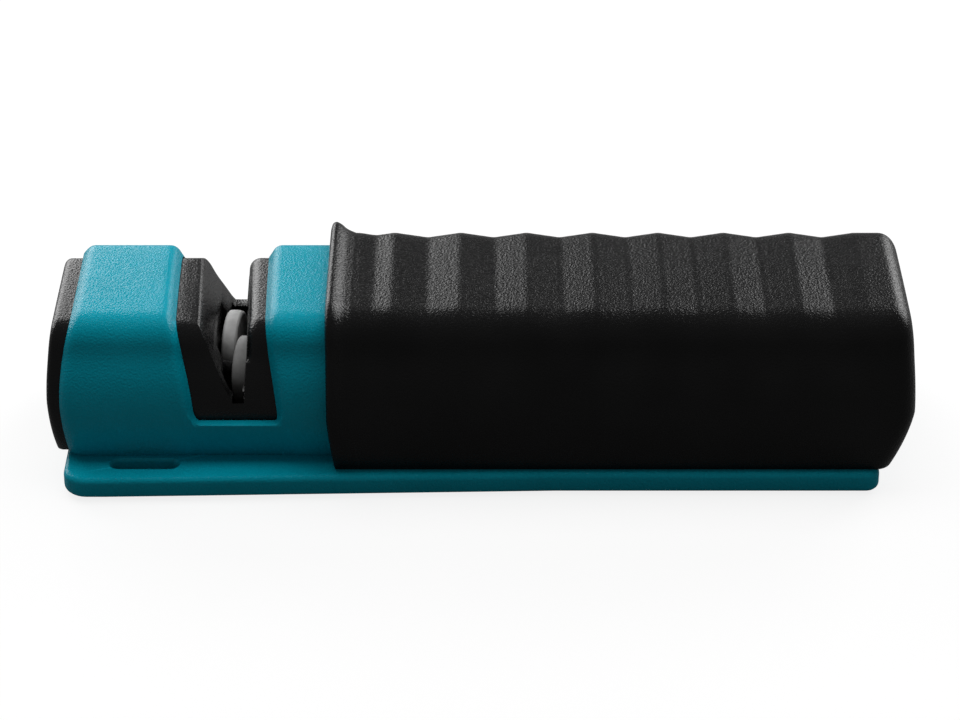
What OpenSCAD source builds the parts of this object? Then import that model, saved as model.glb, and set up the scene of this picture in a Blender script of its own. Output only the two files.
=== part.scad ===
// Hand-held knife sharpener: a knife is drawn through a slot between two skewed ceramic wheels.
// Head at the left (-X), ribbed grip at the right (+X), the slot runs along Y.
// The origin is the middle of the footprint, on the surface that the rubber feet stand on.

/* [Base plate] */
// Thickness of the base plate
plate_t = 4.8; // [4:0.1:6]
// Half width of the base plate at the head end
plate_head_half_w = 31.4; // [31:0.1:36]
// Half width of the base plate under the grip
plate_grip_half_w = 28.9; // [28.4:0.1:32]
// Length of the full-width part at the head end
plate_head_l = 9; // [6:0.5:14]
// Length over which the plate narrows
plate_taper_l = 96; // [60:1:110]
// How far the plate stops short of the left tip
plate_left_gap = 3.4; // [3:0.1:5]
// How far the plate stops short of the right tip
plate_right_gap = 7; // [6:0.1:9]
// Corner radius at the head end
plate_head_r = 5.2; // [3:0.1:7]
// Corner radius at the grip end
plate_grip_r = 3; // [2:0.1:5]
// Length of the oblong hanging slot
hang_slot_l = 14.4; // [11:0.1:15]
// Width of the oblong hanging slot
hang_slot_w = 3.6; // [2.5:0.1:3.9]
// Distance from the plate's left end to the slot's middle
hang_slot_x = 17.2; // [17:0.1:20]
// Distance from the plate's edge to the slot's middle line
hang_slot_y = 6.7; // [6:0.1:7.2]

/* [Head shell] */
// Length of the teal head from its left edge to the grip's rim
head_l = 56.9; // [56:0.1:60]
// Height of the head above the plate
head_h = 31.5; // [30.5:0.1:32.5]
// Half width of the head at the plate
head_foot_half_w = 21.3; // [21:0.1:23]
// Half width of the head at its widest
head_wide_half_w = 24.8; // [24:0.1:26]
// Half width of the head where the shoulder starts
head_shoulder_half_w = 21; // [20:0.1:22]
// Half width of the flat top
head_flat_half_w = 13.4; // [12:0.1:15]
// Wall of the head shell
head_wall = 2.1; // [1.8:0.1:2.3]
// Distance from the head's left edge to the window
window_x = 24.8; // [24:0.1:26]
// Width of the window at the top
window_w = 21.3; // [20.6:0.1:22]
// Height of the window's lower edge above the plate
window_sill_h = 9.2; // [9:0.1:10.5]
// Slope of the window's bevelled edge
window_bevel = 1.7; // [1:0.1:1.9]
// Skew of the window in plan, in degrees
window_skew = 1.5; // [0:0.1:2]

/* [End cap] */
// How far the end cap stands out of the head
cap_out = 3; // [2.4:0.1:4]
// How far the end cap reaches into the head
cap_in = 7; // [6:0.5:8]
// Wall of the end cap
cap_wall = 2; // [1.6:0.1:2.4]

/* [Knife guide] */
// Wall of the guide in front of and behind the wheels
guide_wall = 2.9; // [2.4:0.1:3.2]
// Clearance between the guide and the shell around it
guide_gap = 0.25; // [0.2:0.05:0.35]
// Height of the slot's lower lip above the plate
slot_lip_h = 14.5; // [14.3:0.1:15.4]
// Width of the slot at its lower lip
slot_lip_w = 2.6; // [2:0.1:3.4]
// Width of the slot at the top
slot_top_w = 10.8; // [10.6:0.1:11.5]
// Distance from the head's left edge to the slot's left top edge
slot_x = 28.8; // [28.6:0.1:29.2]
// Skew of the slot in plan, in degrees
slot_skew = 2.4; // [0:0.2:3]

/* [Wheels] */
// Diameter of the ceramic wheels
wheel_d = 14.8; // [14:0.1:15.4]
// Thickness of the ceramic wheels
wheel_t = 3.4; // [2.6:0.1:3.6]
// Skew of the wheels in plan, in degrees
wheel_skew = 8; // [6:0.5:10]
// Distance between the wheels' middles across the slot
wheel_pitch_x = 3; // [2.8:0.1:3.4]
// Distance between the wheels' middles along the slot
wheel_pitch_y = 11.6; // [11:0.1:12.2]
// Height of the axles above the plate
axle_h = 12.4; // [12:0.1:12.6]
// Diameter of the steel axles
axle_d = 2; // [1.8:0.1:2.4]
// Outer diameter of the wheel bushes
bush_d = 5; // [4.2:0.1:6]
// Thickness of the axle washers
washer_t = 0.4; // [0.3:0.05:0.5]
// Outer diameter of the axle washers
washer_d = 4.4; // [4:0.1:5]

/* [Cradle] */
// Height of the cradle's top above the plate
cradle_h = 14.2; // [14:0.1:14.6]
// Thickness of the cradle's floor under the wheels
cradle_floor = 1.6; // [1:0.1:2.4]

/* [Grip] */
// Length of the grip from the rim to the right tip
grip_l = 125; // [123:0.1:130]
// Height of the grip above the plate
grip_h = 33.6; // [33:0.1:36]
// Half width of the grip at the plate
grip_foot_half_w = 27.1; // [26:0.1:27.6]
// Half width of the grip at its widest
grip_wide_half_w = 28.2; // [27.6:0.1:30]
// Half width of the grip where the shoulder starts
grip_shoulder_half_w = 23.6; // [23:0.1:25]
// Half width of the grip's flat top
grip_flat_half_w = 14.5; // [12:0.1:16]
// Wall of the grip sleeve
grip_wall = 2.4; // [2:0.1:3]
// Height of the grip's rim above its top
rim_h = 2; // [1:0.1:2.4]
// Width of the grip's rim
rim_w = 5.4; // [4:0.1:7]
// Spacing of the finger waves
wave_pitch = 14.56; // [12:0.02:14.7]
// Number of finger waves
wave_count = 8; // [4:1:8]
// Depth of a finger wave from crest to valley
wave_depth = 0.8; // [0.5:0.1:1.4]
// Wall of the grip core
core_wall = 2.4; // [2:0.1:3]

/* [Fasteners and feet] */
// Diameter of a screw's shank
screw_d = 2.9; // [2.5:0.1:3]
// Length of a head screw under its head
head_screw_l = 12; // [10:0.5:14]
// Length of a grip screw under its head
grip_screw_l = 16; // [12:0.5:18]
// Length of a short screw under its head
short_screw_l = 7; // [6:0.5:8]
// Diameter of a screw's head
screw_head_d = 5.4; // [5:0.1:6]
// Height of a screw's head
screw_head_h = 1.6; // [1.2:0.1:1.8]
// Diameter of a rubber foot
foot_d = 7; // [6:0.5:7.5]
// How far a foot stands out below the plate
foot_out = 0.6; // [0.4:0.1:1]

/* [Hidden] */

// Clearances: how far cuts overrun, seated pieces, press fits, and the running fit on the axles
over = 1;
seat_gap = 0.3;
fit_gap = 0.03;
run_gap = 0.08;

// Places along the length, measured at the height where the ends bulge most
total_l = cap_out + head_l + grip_l;
tip_left_x = -total_l / 2;
head_x = tip_left_x + cap_out;
rim_x = head_x + head_l;
tip_right_x = rim_x + grip_l;
window_left_x = head_x + window_x;
window_right_x = window_left_x + window_w;
slot_left_x = head_x + slot_x;
slot_right_x = slot_left_x + slot_top_w;
lip_share = 0.24;
blade_x = slot_right_x - lip_share * slot_top_w;
guide_flange_left = 2.4;
guide_flange_right = 2.2;
guide_left_x = window_left_x - guide_flange_left;
guide_right_x = window_right_x + guide_flange_right;
cradle_half_w = 10.4;
cradle_side = 1.2;
cradle_left_x = slot_left_x - cradle_side;
cradle_right_x = 2 * blade_x - cradle_left_x;
well_half_x = 4.6;
under_rim = 3.8;
shell_right_x = rim_x + under_rim;
rim_up = -0.2;
rim_down = 1.6;
core_left_x = rim_x + rim_w + rim_down;
core_end_gap = 6;
core_right_x = tip_right_x - grip_wall - core_end_gap;

// Heights
plate_bottom_z = foot_out;
floor_z = plate_bottom_z + plate_t;
head_top_z = floor_z + head_h;
grip_top_z = floor_z + grip_h;
wide_share = 0.42;
wide_z = floor_z + wide_share * head_h;

// Colours
teal = [0.02, 0.48, 0.55];
black = [0.06, 0.06, 0.06];
ceramic = [0.9, 0.89, 0.86];
steel = [0.72, 0.72, 0.74];
nylon = [0.75, 0.74, 0.7];
rubber = [0.13, 0.13, 0.14];

// A loaf outline: half widths at foot, widest, shoulder, corner and flat top, then shoulder and top heights
shoulder_share = 0.77;
corner_share = 0.955;
head_loaf = [head_foot_half_w, head_wide_half_w, head_shoulder_half_w,
             head_shoulder_half_w * corner_share, head_flat_half_w,
             floor_z + shoulder_share * head_h, head_top_z];
grip_loaf = [grip_foot_half_w, grip_wide_half_w, grip_shoulder_half_w,
             grip_shoulder_half_w * corner_share, grip_flat_half_w,
             floor_z + shoulder_share * grip_h, grip_top_z];

// Rows of points along half an outline: side, shoulder and flat top
side_n = 6;
shoulder_n = 5;
flat_n = 2;
sill_row = 3;
half_n = side_n + shoulder_n + flat_n;
ring_n = 2 * half_n + 1;
crown_share = 0.012;
inset_flat_share = 0.5;
inset_shoulder_share = 0.6;

function bezier(a, b, c, t) = (1 - t) * (1 - t) * a + 2 * t * (1 - t) * b + t * t * c;

// The outline set in by d
function inset(p, d) = [p[0] - d, p[1] - d, p[2] - d, p[3] - d, p[4] - d * inset_flat_share,
                        p[5] - d * inset_shoulder_share, p[6] - d];

// Point of the side at t, from the foot (0) to the shoulder (1)
function side_point(p, t) =
    bezier([p[0], floor_z], [2 * p[1] - (p[0] + p[2]) / 2, (floor_z + p[5]) / 2], [p[2], p[5]], t);

// Point k of half an outline, with row sill_row at the share t_sill of the side
function half_point(p, k, t_sill) =
    k <= sill_row ? side_point(p, t_sill * k / sill_row)
    : k <= side_n ? side_point(p, t_sill + (1 - t_sill) * (k - sill_row) / (side_n - sill_row))
    : k <= side_n + shoulder_n
        ? bezier([p[2], p[5]], [(p[2] + p[3]) / 2, p[6]], [p[4], p[6]], (k - side_n) / shoulder_n)
    : let (s = 1 - (k - side_n - shoulder_n) / flat_n)
        [p[4] * s, p[6] + crown_share * p[4] * (1 - s * s)];

// The row of half an outline that point i of the whole outline mirrors
function row_of(i) = i <= half_n ? i : ring_n - 1 - i;

// The whole outline as [y, z], from the front foot over the top to the rear foot
function outline(p, t_sill = 0.5) =
    [for (i = [0 : ring_n - 1])
        let (q = half_point(p, row_of(i), t_sill))
        [i <= half_n ? -q[0] : q[0], q[1]]];

tuck_power = 1.2;

// How far along its draw-in an end is at height z, above and below the widest height
function tuck_up(p, z) = let (s = max(0, z - wide_z) / (p[6] - wide_z)) s * s;
function tuck_down(z) = let (s = max(0, wide_z - z) / (wide_z - floor_z)) pow(s, tuck_power);

// One ring of a skin: an outline at x, drawn in by up and down, with its foot leaning out by lean, and
// skewed in plan
function ring(p, x, up, down, lean = 0, t_sill = 0.5, skew = 0) =
    [for (q = outline(p, t_sill))
        [x + up * tuck_up(p, q[1]) + down * tuck_down(q[1])
            + lean * max(0, p[5] - q[1]) / (p[5] - floor_z) - q[0] * tan(skew), q[0], q[1]]];

// Rung i of the ladder of faces that closes a ring of n points
function rung(start, i, n, flip) =
    let (a = start + i, b = start + i + 1, c = start + n - 2 - i, d = start + n - 1 - i)
    b == c ? [flip ? [a, d, b] : [a, b, d]]
    : flip ? [[a, d, b], [b, d, c]] : [[a, b, d], [b, c, d]];

// A closed skin between rows of outer and inner rings. The cells from hole[0] to hole[1] along X and
// above row sill_row are left out, and either end can be closed by a wall.
module skin(outer, inner, hole = [0, 0], close_start = false, close_end = false) {
    m = len(outer);
    n = ring_n;
    inn = m * n;
    h = half_n;
    function cell(j, i) = j >= 0 && j < m - 1 && i >= 0 && i < n - 1
        && !(j >= hole[0] && j < hole[1] && i >= sill_row && i < n - 1 - sill_row);
    function at(j, i) = j * n + i;
    faces = [
        for (j = [0 : m - 2], i = [0 : n - 2])
            if (cell(j, i)) each [
                [at(j, i), at(j, i + 1), at(j + 1, i + 1)],
                [at(j, i), at(j + 1, i + 1), at(j + 1, i)],
                [inn + at(j, i), inn + at(j + 1, i + 1), inn + at(j, i + 1)],
                [inn + at(j, i), inn + at(j + 1, i), inn + at(j + 1, i + 1)]],
        for (j = [0 : m - 1], i = [0 : n - 2])
            if (cell(j, i) && !cell(j - 1, i) && !(j == 0 && close_start)) each [
                [at(j, i), inn + at(j, i + 1), at(j, i + 1)],
                [at(j, i), inn + at(j, i), inn + at(j, i + 1)]],
        for (j = [0 : m - 1], i = [0 : n - 2])
            if (!cell(j, i) && cell(j - 1, i) && !(j == m - 1 && close_end)) each [
                [at(j, i), at(j, i + 1), inn + at(j, i + 1)],
                [at(j, i), inn + at(j, i + 1), inn + at(j, i)]],
        for (j = [0 : m - 2], i = [0 : n - 1])
            if (cell(j, i) && !cell(j, i - 1)) each [
                [at(j, i), at(j + 1, i), inn + at(j + 1, i)],
                [at(j, i), inn + at(j + 1, i), inn + at(j, i)]],
        for (j = [0 : m - 2], i = [0 : n - 1])
            if (!cell(j, i) && cell(j, i - 1)) each [
                [at(j, i), inn + at(j + 1, i), at(j + 1, i)],
                [at(j, i), inn + at(j, i), inn + at(j + 1, i)]],
        if (close_start) each [
            for (i = [0 : h - 1]) each rung(at(0, 0), i, n, true),
            for (i = [0 : h - 1]) each rung(inn, i, n, false),
            [n - 1, 0, inn],
            [n - 1, inn, inn + n - 1]],
        if (close_end) each [
            for (i = [0 : h - 1]) each rung(at(m - 1, 0), i, n, false),
            for (i = [0 : h - 1]) each rung(inn + at(m - 1, 0), i, n, true),
            [at(m - 1, 0), at(m - 1, n - 1), inn + at(m - 1, n - 1)],
            [at(m - 1, 0), inn + at(m - 1, n - 1), inn + at(m - 1, 0)]]
    ];
    polyhedron(points = [each for (r = outer) r, each for (r = inner) r], faces = faces);
}

// An outline swept along X from x0 to x1
module loaf_bar(p, x0, x1) {
    translate([x0, 0, 0])
    rotate([90, 0, 90])
    linear_extrude(height = x1 - x0)
    polygon(outline(p));
}

// Screws stand in the plate from below. Bosses take them above the plate.
boss_wall = 2.1;
boss_d = screw_d + 2 * boss_wall;
boss_hole_d = screw_d + 2 * fit_gap;
head_boss_in = 2;
head_boss_y = head_flat_half_w - head_boss_in;
left_block_x = head_x + cap_in + seat_gap;
head_bosses = [for (x = [(left_block_x + guide_left_x) / 2, (guide_right_x + shell_right_x) / 2],
                    y = [-head_boss_y, head_boss_y]) [x, y]];
core_boss_y = grip_flat_half_w;
core_boss_x = 12;
core_bosses = [for (x = [core_left_x + core_boss_x, core_right_x - core_boss_x],
                    y = [-core_boss_y, core_boss_y]) [x, y]];
cradle_screw_x = (cradle_left_x + blade_x - well_half_x) / 2;
cradle_screw_places = [for (x = [cradle_screw_x, 2 * blade_x - cradle_screw_x]) [x, 0]];
guide_screw_y = head_foot_half_w - head_wall - guide_gap - 2 * boss_wall;
guide_screw_places = [for (x = [(guide_left_x + slot_left_x) / 2, (slot_right_x + guide_right_x) / 2],
                           y = [-guide_screw_y, guide_screw_y]) [x, y]];

module boss(place, top_z) {
    translate([place[0], place[1], floor_z])
    cylinder(h = top_z - floor_z, d = boss_d, $fn = 32);
}

module boss_hole(place, screw_l) {
    depth = screw_l + screw_head_h - plate_t + over;
    translate([place[0], place[1], floor_z - over])
    cylinder(h = depth + over, d = boss_hole_d, $fn = 32);
}

module screw(place, screw_l) {
    translate([place[0], place[1], plate_bottom_z])
    union() {
        cylinder(h = screw_head_h, d = screw_head_d, $fn = 32);
        cylinder(h = screw_head_h + screw_l, d = screw_d, $fn = 32);
    }
}

module screw_well(place) {
    translate([place[0], place[1], plate_bottom_z - over])
    cylinder(h = screw_head_h + over, d = screw_head_d + 2 * seat_gap, $fn = 32);
    translate([place[0], place[1], plate_bottom_z - over])
    cylinder(h = plate_t + 2 * over, d = screw_d + 2 * seat_gap, $fn = 32);
}

module head_screws() {
    color(steel)
    for (p = head_bosses) screw(p, head_screw_l);
}

module grip_screws() {
    color(steel)
    for (p = core_bosses) screw(p, grip_screw_l);
}

module short_screws() {
    color(steel)
    for (p = concat(cradle_screw_places, guide_screw_places)) screw(p, short_screw_l);
}

// Base plate
plate_left_x = tip_left_x + plate_left_gap;
plate_right_x = tip_right_x - plate_right_gap;
corner_steps = [0 : 15 : 90];

// Half of the plan outline, from the grip end to the head end
plate_half = [
    for (a = corner_steps)
        [plate_right_x - plate_grip_r * (1 - cos(a)), plate_grip_half_w - plate_grip_r * (1 - sin(a))],
    [plate_left_x + plate_head_l + plate_taper_l, plate_grip_half_w],
    [plate_left_x + plate_head_l, plate_head_half_w],
    for (a = corner_steps)
        [plate_left_x + plate_head_r * (1 - sin(a)), plate_head_half_w - plate_head_r * (1 - cos(a))]];
plate_outline = concat(plate_half, [for (i = [len(plate_half) - 1 : -1 : 0]) [plate_half[i][0], -plate_half[i][1]]]);

module hang_slot(side) {
    half_l = (hang_slot_l - hang_slot_w) / 2;
    translate([plate_left_x + hang_slot_x, side * (plate_head_half_w - hang_slot_y), plate_bottom_z - over])
    linear_extrude(height = plate_t + 2 * over)
    polygon([
        for (end = [-1, 1], a = [-90 : 15 : 90])
            [end * (half_l + hang_slot_w / 2 * cos(a)), end * hang_slot_w / 2 * sin(a)]]);
}

module base_plate() {
    color(teal)
    difference() {
        translate([0, 0, plate_bottom_z])
        linear_extrude(height = plate_t)
        polygon(plate_outline);
        for (p = concat(head_bosses, core_bosses, cradle_screw_places, guide_screw_places)) screw_well(p);
        for (p = foot_places)
            translate([p[0], p[1], plate_bottom_z - over])
            cylinder(h = foot_seat + over, d = foot_d + 2 * seat_gap, $fn = 48);
        for (side = [-1, 1]) hang_slot(side);
    }
}

// Rubber feet in pockets under the plate's corners
foot_seat = 1.2;
foot_margin = 1.85;
foot_edge = foot_d / 2 + seat_gap + foot_margin;
foot_places = [for (side = [-1, 1]) each [
    [plate_left_x + foot_edge, side * (plate_head_half_w - foot_edge)],
    [plate_right_x - foot_edge, side * (plate_grip_half_w - foot_edge)]]];

module rubber_feet() {
    color(rubber)
    for (p = foot_places)
        translate([p[0], p[1], 0])
        cylinder(h = foot_out + foot_seat, d = foot_d, $fn = 48);
}

// Head shell: two saddle bands joined below a window. Its rings are
// [x, draw-in above, draw-in below, lean, drop of the surface, shift of the inner ring, height of the sill
// row, skew]
head_up = 2.4;
head_down = 1.1;
window_up_left = -2.1;
window_up_right = -1;
window_lean_left = 2.6;
window_lean_right = 2.4;
sill_z = floor_z + window_sill_h;
sill_r_left = 2.7;
sill_r_right = 2.3;
sill_bevel = 0.8;
edge_drop = 1.5;
edge_run = 2.5;
window_drop = 0.3;
window_run = 1.6;
near_share = 0.36;
edge_row_z = sill_z + sill_r_left;

function plain_ring(x, share, drop) = [x, head_up * share, head_down * share, 0, drop, 0, edge_row_z, 0];
function left_ring(x, drop, shift = 0, row_z = edge_row_z) =
    [x, window_up_left, 0, window_lean_left, drop, shift, row_z, window_skew];
function right_ring(x, drop, shift = 0, row_z = edge_row_z) =
    [x, window_up_right, 0, window_lean_right, drop, -shift, row_z, window_skew];

shell_rings = [
    plain_ring(head_x, 1, edge_drop),
    plain_ring(head_x + edge_run * near_share, 1, edge_drop * near_share),
    plain_ring(head_x + edge_run, 1, 0),
    plain_ring(head_x + window_x / 2, 0.5, 0),
    left_ring(window_left_x - window_run, 0),
    left_ring(window_left_x - window_run * near_share, window_drop * near_share),
    left_ring(window_left_x, window_drop, window_bevel),
    for (a = [30 : 30 : 90])
        left_ring(window_left_x + sill_r_left * (1 - cos(a)), window_drop, window_bevel * cos(a),
                  sill_z + sill_r_left * (1 - sin(a))),
    for (a = [90, 45])
        right_ring(window_right_x - sill_r_right * (1 - cos(a)), window_drop, window_bevel * cos(a),
                   sill_z + sill_r_right * (1 - sin(a))),
    right_ring(window_right_x, window_drop, window_bevel),
    right_ring(window_right_x + window_run * near_share, window_drop * near_share),
    right_ring(window_right_x + window_run, 0),
    plain_ring(shell_right_x, 0, 0)];

// Where on the side of an outline a height lies
function side_t(p, z) = (z - floor_z) / (p[5] - floor_z);

function shell_outer(r) = let (p = inset(head_loaf, r[4]))
    ring(p, r[0], r[1], r[2], r[3], side_t(p, r[6]), r[7]);
function shell_inner(r) = let (p = inset(head_loaf, head_wall), low = r[6] < edge_row_z ? sill_bevel : 0)
    ring(p, r[0] + r[5], r[1], r[2], r[3], side_t(p, r[6] + low), r[7]);

module head_shell() {
    color(teal)
    skin([for (r = shell_rings) shell_outer(r)], [for (r = shell_rings) shell_inner(r)], hole = [6, 12]);
}

// Blocks inside the shell, to the left and right of the guide. The shell is pushed over them.
module head_block(x0, x1, bosses) {
    p = inset(head_loaf, head_wall + seat_gap);
    color(black)
    difference() {
        union() {
            difference() {
                loaf_bar(p, x0, x1);
                loaf_bar(inset(p, core_wall), x0 + core_wall, x1 - core_wall);
            }
            for (b = bosses) boss(b, p[6] - core_wall / 2);
        }
        for (b = bosses) boss_hole(b, head_screw_l);
    }
}

module left_block() { head_block(left_block_x, guide_left_x - seat_gap, [for (i = [0, 1]) head_bosses[i]]); }
module right_block() { head_block(guide_right_x + seat_gap, shell_right_x, [for (i = [2, 3]) head_bosses[i]]); }

// End cap: a cup with a bulging outer face, in the shell's left end
cap_loaf = inset(head_loaf, head_wall + seat_gap);
cap_round = 1.6;
cap_up = 1.1;
cap_down = 1.2;

// Rings of the cap: [x of the outer ring, its inset, x of the inner ring, draw-in above, draw-in below]
cap_rings = [
    [tip_left_x, cap_round, tip_left_x + cap_wall, cap_up, cap_down],
    [tip_left_x + cap_round * 0.13, cap_round * 0.5, tip_left_x + cap_wall * 1.1, cap_up, cap_down],
    [tip_left_x + cap_round * 0.5, cap_round * 0.13, tip_left_x + cap_wall * 1.25, cap_up, cap_down],
    [tip_left_x + cap_round, 0, tip_left_x + cap_wall * 1.5, cap_up, cap_down],
    [head_x + cap_wall, 0, head_x + cap_wall * 1.2, head_up, head_down],
    [head_x + cap_in, 0, head_x + cap_in, 0, 0]];

module end_cap() {
    color(black)
    skin([for (r = cap_rings) ring(inset(cap_loaf, r[1]), r[0], r[3], r[4])],
         [for (r = cap_rings) ring(inset(cap_loaf, cap_wall), r[2], r[3], r[4])],
         close_start = true);
}

// Knife guide: the black lobes on both sides of the slot, with a well between them for the wheels
guide_loaf = inset(head_loaf, head_wall + guide_gap);
guide_top_z = guide_loaf[6];
slot_lip_z = floor_z + slot_lip_h;
lobe_round = 2.4;
lobe_bevel_w = 1.9;
lobe_bevel_h = 0.35;
pit_half_x = 2.9;
flank_shares = [[0.06, 0.95], [0.14, 0.88], [0.26, 0.76], [0.55, 0.42], [0.88, 0.08]];

// The slot seen from the front, as [x, z] from its blade line: a bevelled lobe, a sloping left flank, a narrow
// lip and a steep right flank. It is turned a little in plan.
module slot_prism() {
    half_lip = slot_lip_w / 2;
    left = slot_left_x - blade_x;
    right = slot_right_x - blade_x;
    rise = guide_top_z - slot_lip_z;
    half_l = head_wide_half_w + over;
    translate([blade_x, 0, 0])
    rotate([0, 0, slot_skew])
    translate([0, half_l, 0])
    rotate([90, 0, 0])
    linear_extrude(height = 2 * half_l)
    polygon([
        [left - lobe_bevel_w, guide_top_z + over],
        [left - lobe_bevel_w, guide_top_z],
        [left, guide_top_z - lobe_bevel_h],
        for (s = flank_shares) [left - s[0] * (half_lip + left), slot_lip_z + s[1] * rise],
        [-half_lip, slot_lip_z],
        [half_lip, slot_lip_z],
        for (a = [0 : 30 : 90]) [right + lobe_round * (1 - cos(a)), guide_top_z - lobe_round * (1 - sin(a))],
        [right + lobe_round, guide_top_z + over]]);
}

module knife_guide() {
    hollow = inset(guide_loaf, guide_wall);
    room_w = cradle_right_x - cradle_left_x + 2 * seat_gap;
    room_l = 2 * (cradle_half_w + seat_gap);
    color(black)
    difference() {
        loaf_bar(guide_loaf, guide_left_x, guide_right_x);
        loaf_bar(hollow, blade_x - pit_half_x, slot_right_x);
        translate([blade_x - well_half_x, -room_l / 2, slot_lip_z])
        cube([well_half_x + slot_right_x - blade_x, room_l, guide_top_z]);
        translate([cradle_left_x - seat_gap, -room_l / 2, floor_z - over])
        cube([room_w, room_l, over + cradle_h + seat_gap]);
        translate([blade_x - well_half_x, -room_l / 2, floor_z])
        cube([2 * well_half_x, room_l, axle_h + wheel_d / 2 + wheel_room]);
        slot_prism();
        for (p = guide_screw_places) boss_hole(p, short_screw_l);
    }
}

// Wheels, bushes, washers and axles. Each axle lies level, skewed in plan, its right end towards the front.
axle_reach = (cradle_right_x - cradle_left_x) / 2 - seat_gap;
axle_z = floor_z + axle_h;
rear_centre = [blade_x - wheel_pitch_x / 2, wheel_pitch_y / 2, axle_z];
front_centre = [blade_x + wheel_pitch_x / 2, -wheel_pitch_y / 2, axle_z];
wheel_round = 0.9;
wheel_room = 0.7;
side_room = washer_t + 2 * seat_gap;

// Puts a child that turns about +Z on an axle. The child's +Z points to the axle's outer end.
module on_axle(centre, side) {
    translate(centre)
    rotate([0, 0, -wheel_skew])
    rotate([0, side * 90, 0])
    children();
}

module wheel(centre, side) {
    r = wheel_d / 2;
    h = wheel_t / 2;
    hole = bush_d / 2 + fit_gap;
    color(ceramic)
    on_axle(centre, side)
    rotate_extrude($fn = 96)
    polygon([[hole, -h], [r - wheel_round, -h],
             for (a = [-60 : 30 : 60]) [r - wheel_round * (1 - cos(a)), (h - wheel_round) * sign(a) + wheel_round * sin(a)],
             [r - wheel_round, h], [hole, h]]);
}

module bush(centre, side) {
    color(nylon)
    on_axle(centre, side)
    difference() {
        cylinder(h = wheel_t, d = bush_d, center = true, $fn = 48);
        cylinder(h = wheel_t + 2 * over, d = axle_d + 2 * run_gap, center = true, $fn = 48);
    }
}

// An axle reaches across the cradle, a little short of both its sides
module axle(centre) {
    near = blade_x - centre[0];
    color(steel)
    on_axle(centre, 1)
    translate([0, 0, near / cos(wheel_skew)])
    cylinder(h = 2 * axle_reach, d = axle_d, center = true, $fn = 48);
}

module washers(centre, side) {
    color(steel)
    on_axle(centre, side)
    for (end = [-1, 1])
        translate([0, 0, end * (wheel_t + side_room) / 2])
        difference() {
            cylinder(h = washer_t, d = washer_d, center = true, $fn = 48);
            cylinder(h = washer_t + 2 * over, d = axle_d + 2 * fit_gap, center = true, $fn = 48);
        }
}

module rear_wheel() { wheel(rear_centre, -1); }
module front_wheel() { wheel(front_centre, 1); }
module rear_bush() { bush(rear_centre, -1); }
module front_bush() { bush(front_centre, 1); }
module rear_axle() { axle(rear_centre); }
module front_axle() { axle(front_centre); }
module rear_washers() { washers(rear_centre, -1); }
module front_washers() { washers(front_centre, 1); }

// Wheel cradle: a floor and two walls with bearing bosses
axle_boss_wall = 0.8;

module axle_bosses(centre) {
    from = wheel_t / 2 + side_room;
    to = well_half_x + wheel_pitch_x / 2 + over;
    for (side = [-1, 1])
        on_axle(centre, side)
        translate([0, 0, from])
        cylinder(h = to - from, d = axle_d + 2 * axle_boss_wall, $fn = 48);
}

module axle_bore(centre) {
    on_axle(centre, 1)
    cylinder(h = 2 * (cradle_right_x - cradle_left_x), d = axle_d + 2 * fit_gap, center = true, $fn = 48);
}

module wheel_cradle() {
    color(black)
    difference() {
        union() {
            translate([cradle_left_x, -cradle_half_w, floor_z])
            cube([cradle_right_x - cradle_left_x, 2 * cradle_half_w, cradle_floor]);
            translate([cradle_left_x, -cradle_half_w, floor_z])
            cube([blade_x - well_half_x - cradle_left_x, 2 * cradle_half_w, cradle_h]);
            translate([blade_x + well_half_x, -cradle_half_w, floor_z])
            cube([cradle_right_x - blade_x - well_half_x, 2 * cradle_half_w, cradle_h]);
            axle_bosses(rear_centre);
            axle_bosses(front_centre);
        }
        axle_bore(rear_centre);
        axle_bore(front_centre);
        for (p = cradle_screw_places) boss_hole(p, short_screw_l);
    }
}

// Grip core: a stiff ribbed channel inside the sleeve
core_inset = grip_wall + seat_gap;
core_bays = 3;

module grip_core() {
    p = inset(grip_loaf, core_inset + wave_depth);
    hollow = inset(p, core_wall);
    bay = (core_right_x - core_left_x - core_wall) / core_bays;
    color(black)
    difference() {
        union() {
            difference() {
                loaf_bar(p, core_left_x, core_right_x);
                for (i = [0 : core_bays - 1])
                    loaf_bar(hollow, core_left_x + core_wall + i * bay, core_left_x + (i + 1) * bay);
            }
            for (b = core_bosses) boss(b, p[6] - core_wall / 2);
        }
        for (b = core_bosses) boss_hole(b, grip_screw_l);
    }
}

// Grip sleeve: the waved black skin with its rim
grip_up = -0.8;
grip_down = -4.3;
rim_shares = [[0, 0.55], [0.06, 0.85], [0.2, 1], [0.4, 0.8], [0.65, 0.35], [1, 0]];
sleeve_neck = inset(head_loaf, -seat_gap);
neck_rings = 4;
wave_steps = 6;
wave_start = 13.8;
wave_row_shares = [0, 0, 0, 0, 0.05, 0.2, 0.5, 0.85, 1, 1, 1, 1, 1, 1];
end_round = 4;
end_x = tip_right_x - end_round;

// The outline swollen by d, but not at its foot
function swell(p, d) = [p[0], p[1] + d * inset_shoulder_share, p[2] + d, p[3] + d,
                        p[4] + d * inset_flat_share, p[5] + d * inset_shoulder_share, p[6] + d];

function wave(x) = wave_depth / 2 * (cos(360 * (x - rim_x - wave_start) / wave_pitch) - 1);

// A ring of the grip, set in by d. Its upper rows follow the finger waves, along the way to a ring set in by
// probe more.
probe = 1;
function grip_ring(x, d, waved) =
    let (s = (x - rim_x) / grip_l, up = grip_up * s * s, down = grip_down * s * s)
    let (base = ring(inset(grip_loaf, d), x, up, down), low = ring(inset(grip_loaf, d + probe), x, up, down))
    [for (i = [0 : ring_n - 1])
        base[i] + (base[i] - low[i]) / probe * (waved ? wave(x) * wave_row_shares[row_of(i)] : 0)];

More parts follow.
